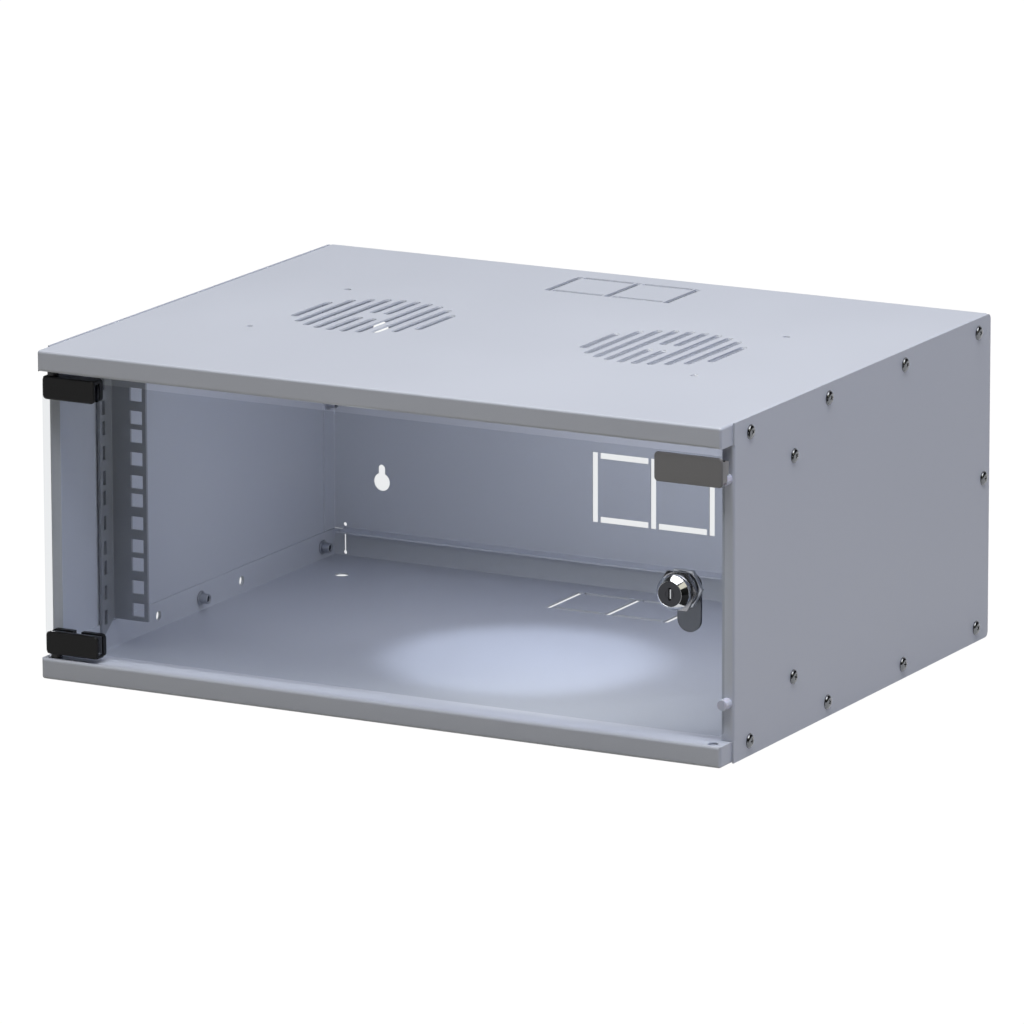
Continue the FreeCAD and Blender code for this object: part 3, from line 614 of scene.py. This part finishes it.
def thread_profile(start, stop, pitch, outer, depth):
    """Points of a row of thread rings, from start to stop along the axis."""
    points = []
    at = start
    step = math.copysign(pitch, stop - start)
    while abs(at - start) + pitch <= abs(stop - start) + 1e-6:
        points += [(at, outer - depth), (at + step * 0.45, outer), (at + step * 0.55, outer)]
        at += step
    return points + [(stop, outer - depth)]


# %% One screw
thread_pitch, thread_depth = 0.8, 0.3
crisp = 30


def build_screw():
    """The screw along X: its head above the plate at 0, its shank below."""
    shank, tip = 2.4, -8.2
    profile = dome_profile(0.5, 1.5, 4.25, 0.55, flat=1.2, step=6, count=13)
    profile += [(0.5, 4.3), (0.42, 4.85), (0.1, 4.9), (0, 4.8), (0, shank), (-1.4, shank)]
    profile += thread_profile(-1.6, tip, thread_pitch, shank, thread_depth) + [(tip, 0)]
    screw = new_piece("screw_pattern", turned_mesh("screw_pattern", profile, 40))
    cut_by(screw, cross_recess(4.6, 1.0, 2.6, 0.45))
    return smooth(screw, crisp)


screw_pattern = build_screw()
print("screw pattern:", len(screw_pattern.data.polygons), "faces")

# %% [markdown]
# ## Where the screws are
# Four screws run along each edge of the right side plate, and one sits at mid height near the
# wall. Two more hold the rail behind. The left plate has three along each edge, as the open
# holes between them show. Every place could be typed by hand, but a row is spaced evenly between
# its first and its last screw, so only those are given, as in the CAD.

# %% Screw places
fix_first, fix_last, edge_z = -360.8, -19.1, 102.5
ear_y, ear_z, rear_y = -297.5, 74.0, -9.4
plate_outer, tray_outer = 256.2, 255.0
four = [fix_first + (fix_last - fix_first) * i / 3 for i in range(4)]
three = [fix_first + (fix_last - fix_first) * i / 2 for i in range(3)]


def screw_spots(side, rows):
    """(x, y, z, facing) of one side plate's screws, at the plate's outer face."""
    outer = side * plate_outer
    spots = [(outer, y, z, side) for y in rows for z in (-edge_z, edge_z)]
    return spots + [(outer, rear_y, 0, side)] + [(outer, ear_y, z, side) for z in (-ear_z, ear_z)]


for label, side, rows in (("right", 1, four), ("left", -1, three)):
    screws = spots_piece("screws_" + label, screw_spots(side, rows))
    run_tree(screws, set_out, Part=screw_pattern, Size=1.0, Turn_seed=11 + side,
             Finish=screw_nickel)
    smooth(screws, crisp)
    finish_piece(screws, "cabinet", ["side_screws_" + label])
bpy.data.objects.remove(screw_pattern)

# %% [markdown]
# ## Rivet nuts
# A rivet nut is a flanged, threaded tube. Pulling it squeezes the tube behind the sheet into a
# round bulge. It shows inside the cabinet as a stub with a bright ring and a dark bore. A ring
# on a cylinder would miss the bulge, so the nut is turned from a full profile, bore and all.

# %% One nut for each thickness of sheet
nut_bore, nut_tube, nut_bulge = 2.75, 3.45, 3.5
nut_crisp = 34


def build_nut(name, wall, standoff):
    """The nut along X, with its flange at 0 and its tube running to -8."""
    start = standoff + wall
    profile = [(0, nut_bore)]
    if standoff > 0:
        profile += [(0, 4.85), (-0.15, 5.0), (-standoff, 5.0), (-standoff, nut_tube)]
    else:
        profile.append((0, nut_tube))
    bulge = [(-start - 0.7 - 0.7 * math.cos(t), nut_bulge + 1.7 * math.sin(t) ** 0.7)
             for t in (math.radians(18 * k) for k in range(9, 0, -1))]
    profile += [(-start, nut_bulge)] + bulge
    profile += [(-start - 1.5, nut_tube), (-7.7, nut_tube), (-8, 3.2), (-8, nut_bore)]
    profile += thread_profile(-7.8, -0.2, thread_pitch, nut_bore, thread_depth)
    profile.append((0, nut_bore))
    nut = new_piece(name, turned_mesh(name, profile, 32))
    return smooth(nut, nut_crisp)


tray_nut = build_nut("tray_nut", wall=1.2, standoff=0)
rail_nut = build_nut("rail_nut", wall=2, standoff=1.2)
print("nut patterns:", len(tray_nut.data.polygons), "and", len(rail_nut.data.polygons), "faces")


# %% Nut places
def nut_spots(rows_by_side, heights):
    """(x, y, z, facing) of the nuts on the pressings' side walls."""
    return [(side * tray_outer, y, z, side) for side, rows in rows_by_side for y in rows
            for z in heights]


nut_rows = (
    ("nuts_trays", tray_nut, nut_spots(((1, four), (-1, three)), (-edge_z, edge_z)),
     "tray_rivet_nuts"),
    ("nuts_rear", tray_nut, nut_spots(((1, [rear_y]), (-1, [rear_y])), (0,)),
     "rear_rivet_nuts"),
    ("nuts_rails", rail_nut, nut_spots(((1, [ear_y]), (-1, [ear_y])), (-ear_z, ear_z)),
     "rail_rivet_nuts"),
)
for name, pattern, spots, node_name in nut_rows:
    nuts = spots_piece(name, spots)
    run_tree(nuts, set_out, Part=pattern, Size=1.0, Turn_seed=3, Finish=nut_zinc)
    smooth(nuts, nut_crisp)
    finish_piece(nuts, "cabinet", [node_name])
for pattern in (tray_nut, rail_nut):
    bpy.data.objects.remove(pattern)

# %% [markdown]
# ## The pane and the finger plate
# A ground glass edge has a small chamfer on both sides, so that nobody cuts a hand on it. The
# grey plate that clips over the free edge is a moulding, and its corners are rounded by the
# mould. Both could be modelled again from nothing, but their CAD nodes already have the right
# outline and holes. The loose triangles of a node are joined, its flat parts are made whole
# again, and a bevel rounds the sharp edges of that copy.

# %% A merged copy of a CAD node


def merged_copy(name, node_name):
    """A copy of the node's mesh with its loose triangles joined, and flat parts made whole."""
    form = bmesh.new()
    form.from_mesh(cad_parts[node_name].data)
    bmesh.ops.remove_doubles(form, verts=form.verts, dist=2e-6)
    bmesh.ops.dissolve_limit(form, angle_limit=math.radians(0.4), verts=form.verts,
                             edges=form.edges)
    return new_piece(name, mesh_from(form, name))


# %% The glass door
pane = merged_copy("glass_pane", "glass_door")
soften(pane, width=0.5)
smooth(pane, degrees=12)
paint(pane, door_glass)
finish_piece(pane, "door", ["glass_door"])

# %% The finger plate
moulding = merged_copy("finger_plate_moulding", "finger_plate")
soften(moulding, width=0.7, segments=3)
smooth(moulding, degrees=40)
paint(moulding, plate_moulding)
finish_piece(moulding, "door", ["finger_plate"])

# %% [markdown]
# ## The cam lock
# The lock is a turned chrome bezel over a hexagonal collar, with a threaded barrel through the
# glass and a nut behind it. The CAD solids have those forms with flat facets, which chrome would
# show as stripes. So the parts are turned again along X with many sides, by the same helper, and
# then swung so that their axis is the lock's, which runs into the cabinet along Y.

# %% Placing a turned part on the lock's axis
lock_front = -399.8


def onto_lock(mesh, y):
    """Swings a mesh made along X so that +X runs into the cabinet, and moves it to depth y."""
    swing = Matrix.Rotation(math.pi / 2, 4, "Z")
    mesh.transform(Matrix.Translation(mm(lock_x, y, lock_z)) @ swing)
    return mesh


# %% [markdown]
# A hexagon's corners are turned off at both ends, so that they don't cut the hand or scratch the
# glass. A bevel would round the flats as well. What the lathe leaves is what the hexagon shares
# with a turned form that is narrower at its ends, so the two are intersected.

# %% Collar and rear nut
barrel, bore = 9.5, 9.55


def hex_mesh(name, flats, thick, chamfer):
    """A hexagon along X with flats above and below, its corners turned off at both ends."""
    corner = flats / 2 / math.cos(math.pi / 6)
    form = bmesh.new()
    rings = [[form.verts.new(mm(along, corner * math.cos(math.radians(60 * k)),
                                corner * math.sin(math.radians(60 * k)))) for k in range(6)]
             for along in (0, thick)]
    for k in range(6):
        form.faces.new((rings[0][k], rings[0][(k + 1) % 6], rings[1][(k + 1) % 6], rings[1][k]))
    form.faces.new(rings[0])
    form.faces.new(rings[1])
    bmesh.ops.recalc_face_normals(form, faces=form.faces)
    piece = new_piece(name, mesh_from(form, name))
    low, high = flats / 2 - 0.15, corner + 0.02
    lathe = turned_mesh("lathe", [(0, 0), (0, low), (chamfer, high),
                                  (thick - chamfer * 0.4, high), (thick, low + 0.8),
                                  (thick, 0)], 96)
    return cut_by(piece, [lathe], "INTERSECT")


def lock_hexagon(name, sizes, y, finish, node_name):
    """A bored hexagon round the barrel. The sizes are flats, thickness and chamfer."""
    piece = hex_mesh(name, *sizes)
    past = sizes[1] + 1
    cut_by(piece, [turned_mesh("bore", [(-1, 0), (-1, bore), (past, bore), (past, 0)], 64)])
    onto_lock(piece.data, y)
    smooth(piece, degrees=20)
    paint(piece, finish)
    finish_piece(piece, "door", [node_name])


lock_hexagon("lock_collar_hexagon", (25.3, 3.0, 0.9), lock_front, collar_steel,
             "lock_collar")
lock_hexagon("lock_rear_nut", (24.0, 3.6, 0.8), -391.3, nut_zinc, "lock_nut")

# %% [markdown]
# The bezel and barrel are one turning on the real lock. Two pieces would be simpler, but would
# leave a seam, so they are one here too. The bezel's cone has a soft rim where it meets the
# face, and the barrel behind the glass carries its thread.

# %% Bezel and barrel
face = -5.1 - 4.3
round_sides, lock_crisp = 96, 28


def build_housing():
    seat, plug_hole, end = 8.25, 6.05, -382.3 - lock_front
    profile = [(face + 1.0, seat), (face + 0.12, seat), (face, 8.36), (face + 0.02, 8.5),
               (face + 0.14, 8.66), (-5.35, 11.45), (-5.1, 11.65), (-4.8, 11.7), (-0.15, 11.7),
               (0, 11.55), (0, barrel), (3.0, barrel), (8.6, barrel)]
    profile += thread_profile(8.8, end - 0.6, 1.0, barrel, 0.45)
    profile += [(end, 8.9), (end, plug_hole), (face + 1.0, plug_hole), (face + 1.0, seat)]
    mesh = turned_mesh("lock_bezel_and_barrel", profile, round_sides)
    return new_piece("lock_bezel_and_barrel", onto_lock(mesh, lock_front), lock_chrome)


housing = smooth(build_housing(), lock_crisp)
finish_piece(housing, "door", ["lock_housing"])

# %% [markdown]
# The plug's dark face has a round key rose with the key slot through it. A black mark would do
# for the slot from far away, but here it is cut right into the core, and a thin spring shutter
# deep inside it catches a spark of light.

# %% Key plug


def box_mesh(name, low, high):
    """A closed box between two corners in millimetres."""
    form = bmesh.new()
    bmesh.ops.create_cube(form, size=1)
    low, high = mm(*low), mm(*high)
    for vert in form.verts:
        vert.co = Vector((low[i] if vert.co[i] < 0 else high[i]) for i in range(3))
    return mesh_from(form, name)


def build_plug():
    disc, core, end = 8.2, 6.0, -381.9 - lock_front
    profile = [(face, 0), (face, 2.85), (face + 0.25, 2.95), (face + 0.25, 3.05),
               (face, 3.15), (face, 8.05), (face + 0.12, disc), (face + 0.95, disc),
               (face + 0.95, core), (end, core), (end, 0)]
    plug = new_piece("lock_key_plug", turned_mesh("lock_key_plug", profile, round_sides))
    return cut_by(plug, [box_mesh("slot", (face - 2, -0.9, -4.2), (face + 6, 0.9, 4.2))])


def join_mesh(piece, mesh):
    """Adds a mesh to the piece's own."""
    form = bmesh.new()
    form.from_mesh(piece.data)
    form.from_mesh(mesh)
    form.to_mesh(piece.data)
    form.free()


plug = build_plug()
join_mesh(plug, box_mesh("tail", (17.4, -3.5, -3.5), (19.88, 3.5, 3.5)))
onto_lock(plug.data, lock_front)
smooth(plug, lock_crisp)
paint(plug, face_satin)
finish_piece(plug, "lock", ["lock_plug"])

# %% Key shutter
shutter = new_piece("lock_key_shutter", box_mesh("lock_key_shutter", (-8.4, -0.85, -3.4),
                                                 (-7.6, 0.85, 3.2)))
onto_lock(shutter.data, lock_front)
soften(shutter, width=0.25)
paint(shutter, lock_chrome)
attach(shutter, "lock")

# %% [markdown]
# A screw holds the cam on the plug's square tail. It has the same domed head and cross recess as
# the side screws, only larger, so the same helpers make it.

# %% Cam screw


def build_cam_screw():
    shank, tip, rim = 2.5, -6.0, 4.6
    profile = dome_profile(1.2, 1.0, rim, 0.5, flat=1.4, step=9, count=8)
    profile += [(1.1, rim), (0.1, rim), (0, 4.5), (0, shank)]
    profile += thread_profile(-0.2, tip, thread_pitch, shank, thread_depth) + [(tip, 0)]
    screw = new_piece("lock_cam_screw_head", turned_mesh("lock_cam_screw_head", profile, 48))
    cut_by(screw, cross_recess(5.2, 1.1, 2.8, 0.5))
    onto_lock(screw.data, -379.9)
    return smooth(screw, crisp)


cam_screw = build_cam_screw()
paint(cam_screw, screw_nickel)
finish_piece(cam_screw, "lock", ["lock_cam_screw"])

# %% [markdown]
# ## Grub screws in the clamps
# Each clamp grips the glass with two hexagon socket grub screws from the back, which show when
# the door is open. Four single screws could be made, but the set-out tree already places parts
# on points. It only needs the pattern turned onto the Y axis first.

# %% The grub screws


def build_grub():
    """A grub screw along Y: its socket faces into the cabinet."""
    profile = [(0, 0), (0, 1.7), (0.25, 2.0)] + thread_profile(0.3, 3.1, 0.7, 2.0, 0.25)
    profile += [(3.3, 1.75), (3.5, 1.6), (3.5, 0)]
    grub = new_piece("grub_pattern", turned_mesh("grub_pattern", profile, 24))
    socket = turned_mesh("socket", [(1.6, 0), (1.6, 1.15), (4.5, 1.15), (4.5, 0)], 6)
    cut_by(grub, [socket])
    grub.data.transform(Matrix.Rotation(math.pi / 2, 4, "Z"))
    return smooth(grub, crisp)


grub_pattern = build_grub()
grub_rows, grub_y, grub_z = (-243.0, -221.0), -390.8, 85.8
for end_name, side in (("lower", -1), ("upper", 1)):
    spots = [(x, grub_y, side * grub_z, 1) for x in grub_rows]
    grubs = spots_piece("clamp_grub_screws_" + end_name, spots)
    run_tree(grubs, set_out, Part=grub_pattern, Size=1.0, Turn_seed=5, Finish=screw_nickel)
    smooth(grubs, crisp)
    finish_piece(grubs, "door", ["hinge_screws_" + end_name])
bpy.data.objects.remove(grub_pattern)

# %% [markdown]
# ## The studio
# The cabinet stands on a plain pale floor under soft light: one large overhead panel, a panel
# at the back left for the rear and the left side, a weak cool panel at the right, and an even
# dim sky. A white floor and sky that light the scene would wash out the shaded sides. So the
# background is white only to the camera, to glossy and to transmission rays. It brightens
# nothing, and the floor still takes the cabinet's shadow.

# %% Which rays see the white background


def math_node(tree, operation, first, second):
    """A maths node whose two values are sockets or plain numbers. Returns its output."""
    node = add_node(tree, "ShaderNodeMath", operation=operation)
    for socket, value in zip(node.inputs, (first, second)):
        if isinstance(value, (int, float)):
            socket.default_value = value
        else:
            tree.links.new(value, socket)
    return node.outputs[0]


def background_rays(tree, glossy):
    """1 for camera rays, and for rays that glass or metal sends on from the camera."""
    rays = add_node(tree, "ShaderNodeLightPath")
    seen = math_node(tree, "MAXIMUM", rays.outputs["Is Camera Ray"],
                     rays.outputs["Is Transmission Ray"])
    if glossy:
        seen = math_node(tree, "MAXIMUM", seen, rays.outputs["Is Glossy Ray"])
    scattered = math_node(tree, "MINIMUM", rays.outputs["Diffuse Depth"], 1.0)
    return math_node(tree, "MULTIPLY", seen, math_node(tree, "SUBTRACT", 1.0, scattered))


# %% Floor
floor_level, floor_half = -0.1125, 14.0


def flat_mesh(name, corner, across, up):
    """One face from a corner and two edges, in metres."""
    mesh = bpy.data.meshes.new(name)
    low, wide, high = Vector(corner), Vector(across), Vector(up)
    mesh.from_pydata([low, low + wide, low + wide + high, low + high], [], [(0, 1, 2, 3)])
    return mesh


def build_floor():
    mesh = flat_mesh("studio_floor", (-floor_half, -floor_half, floor_level),
                     (2 * floor_half, 0, 0), (0, 2 * floor_half, 0))
    material, shader = new_finish("studio_floor")
    tree = material.node_tree
    shader.inputs["Base Color"].default_value = (0.36, 0.345, 0.3, 1)
    shader.inputs["Roughness"].default_value = 0.9
    glow = add_node(tree, "ShaderNodeEmission")
    glow.inputs["Strength"].default_value = 1.07
    mix = add_node(tree, "ShaderNodeMixShader")
    seen = background_rays(tree, glossy=True)
    tree.links.new(math_node(tree, "MULTIPLY", seen, 0.93), mix.inputs[0])
    tree.links.new(shader.outputs[0], mix.inputs[1])
    tree.links.new(glow.outputs[0], mix.inputs[2])
    tree.links.new(mix.outputs[0], tree.nodes["Material Output"].inputs["Surface"])
    new_piece("studio_floor", mesh, material)


build_floor()
print("floor at", floor_level, "m")

# %% Sky


def build_sky(level):
    world = bpy.data.worlds.new("studio_sky")
    bpy.context.scene.world = world
    world.use_nodes = True
    tree = world.node_tree
    back = tree.nodes["Background"]
    back.inputs["Color"].default_value = (0.94, 0.97, 1.0, 1)
    back.inputs["Strength"].default_value = level
    white = add_node(tree, "ShaderNodeBackground")
    white.inputs["Color"].default_value = (1, 1, 1, 1)
    mix = add_node(tree, "ShaderNodeMixShader")
    tree.links.new(background_rays(tree, glossy=False), mix.inputs[0])
    tree.links.new(back.outputs[0], mix.inputs[1])
    tree.links.new(white.outputs[0], mix.inputs[2])
    tree.links.new(mix.outputs[0], tree.nodes["World Output"].inputs["Surface"])


build_sky(0.04)

# %% Panels
middle = (0, -0.2, 0)
white, cold = (1.0, 1.0, 1.0), (0.2, 0.35, 1.0)


def aim(thing, target):
    """Turns a lamp to look at the target from where it is."""
    thing.rotation_euler = (Vector(target) - thing.location).to_track_quat("-Z", "Y").to_euler()


def new_lamp(name, kind, place, target, watts, colour):
    """A lamp that looks at the target, as its object and its data."""
    lamp = bpy.data.lights.new(name, kind)
    lamp.energy = watts
    lamp.color = colour
    thing = bpy.data.objects.new(name, lamp)
    bpy.context.scene.collection.objects.link(thing)
    thing.location = place
    aim(thing, target)
    return thing, lamp


def panel(name, place, target, size, watts, colour):
    """A soft rectangular lamp."""
    thing, lamp = new_lamp(name, "AREA", place, target, watts, colour)
    lamp.shape = "RECTANGLE"
    lamp.size, lamp.size_y = size
    return thing


panels = [
    panel("overhead_panel", (0.42, -0.57, 2.5), middle, (2.4, 2.4), 91, white),
    panel("rear_left_panel", (-2.4, 2.6, 0.36), middle, (2.2, 0.6), 95, (0.97, 0.98, 1.0)),
    panel("right_panel", (2.8, -0.6, 1.0), middle, (1.6, 1.6), 7.5, cold),
]
for thing in panels[1:]:
    thing.visible_glossy = False
print("panels:", len(panels))

# %% [markdown]
# Chrome shows nothing but what stands around it, so in an all white studio the lock would look
# like white plastic. Its colour could be darkened, but then it would look the same from every
# side. Photographers put dark and cream cards beside such parts, and so does this studio. The
# dark cards are black, and the cream card glows by itself, unlit, so its cream reflection in the
# chrome is painted light. Only glossy rays see the cards, so they shade nothing else and don't
# appear in the picture.

# %% Cards for the chrome


def card(name, corner, across, up, colour, strength):
    """A flat card from a corner and two edges, glowing in that colour at that strength. Only
    mirror-like surfaces show it.
    """
    material, shader = new_finish(name)
    shader.inputs["Base Color"].default_value = (0.01, 0.01, 0.01, 1)
    shader.inputs["Roughness"].default_value = 1.0
    shader.inputs["Emission Color"].default_value = colour
    shader.inputs["Emission Strength"].default_value = strength
    thing = new_piece(name, flat_mesh(name, corner, across, up), material)
    thing.visible_camera = thing.visible_diffuse = thing.visible_shadow = False
    thing.visible_transmission = thing.visible_volume_scatter = False
    print("card", name)


card_foot, black = -0.111, (0, 0, 0, 1)
card("dark_card_floor", (0.27, -1.0, card_foot), (0, 0.62, 0), (0.45, 0, 0), black, 0)
card("dark_card_right", (0.72, -1.8, card_foot), (0, 1.45, 0), (0, 0, 0.36), black, 0)
# The cream card glows by itself: painted light, seen only in the chrome's reflections.
card("cream_card_right", (1.6, -1.4, 0.5), (0, 1.3, 0), (-0.4, 0, 0.85), tint(240, 236, 214),
     1.2)

# %% [markdown]
# A deep cabinet behind glass looks like a dark box unless something lights its inside. Stronger
# lamps outside would burn out the roof first. So three small lamps do it: a soft one behind the
# door that faces the rear, a soft one under the roof, and a spot that leaves the round pool of
# light on the floor. No camera or reflection sees them.

# %% Lamps inside the cabinet


def keep_out_of_sight(thing):
    """The lamp lights things, but no camera, mirror or pane shows it."""
    thing.visible_camera = False
    thing.visible_glossy = False
    thing.visible_transmission = False


def spot(name, place, target, watts, colour, cone, blend, radius):
    """A lamp that throws a round pool of light."""
    thing, lamp = new_lamp(name, "SPOT", place, target, watts, colour)
    lamp.spot_size = math.radians(cone)
    lamp.spot_blend = blend
    lamp.shadow_soft_size = radius
    return thing


inner = [
    panel("inner_door_lamp", (0.1, -0.376, 0.02), (0.02, 0.0, 0.04), (0.22, 0.13), 0.37,
          (0.99, 0.98, 0.87)),
    panel("inner_roof_lamp", (0.04, -0.2, 0.106), (0.04, -0.2, -0.1), (0.36, 0.2), 0.17,
          (0.72, 0.71, 0.9)),
    spot("inner_spot", (0.01, -0.21, 0.1), (0.01, -0.21, -0.11), 1.36, (0.68, 0.73, 0.84),
         cone=56, blend=0.5, radius=0.012),
]
for lamp in inner:
    keep_out_of_sight(lamp)
print("lamps inside:", len(inner))

# %% [markdown]
# ## The camera
# The photograph was taken from the right and a little above, from far away with a long lens, so
# the parallels hardly converge. A camera set by eye would be off by a few pixels everywhere, so
# its place, its lens and its small roll come from solving the camera on the cabinet's corners.

# %% Camera
camera_place = (2.77036, -5.358086, 1.364775)
camera_angles = (28.277, 13.2307, -0.163)


def build_camera():
    camera = bpy.data.cameras.new("camera")
    camera.lens = 313.96
    camera.sensor_width = 36.0
    camera.clip_end = 60.0
    thing = bpy.data.objects.new("camera", camera)
    bpy.context.scene.collection.objects.link(thing)
    azimuth, elevation, roll = (math.radians(v) for v in camera_angles)
    forward = Vector((-math.sin(azimuth) * math.cos(elevation),
                      math.cos(azimuth) * math.cos(elevation), -math.sin(elevation)))
    level = Vector((math.cos(azimuth), math.sin(azimuth), 0))
    upright = level.cross(forward)
    right = math.cos(roll) * level + math.sin(roll) * upright
    up = -math.sin(roll) * level + math.cos(roll) * upright
    thing.matrix_world = Matrix.Translation(camera_place) @ Matrix(
        (right, up, -forward)).transposed().to_4x4()
    bpy.context.scene.camera = thing


build_camera()
print("camera at", camera_place)
bpy.context.scene.view_settings.view_transform = "Standard"
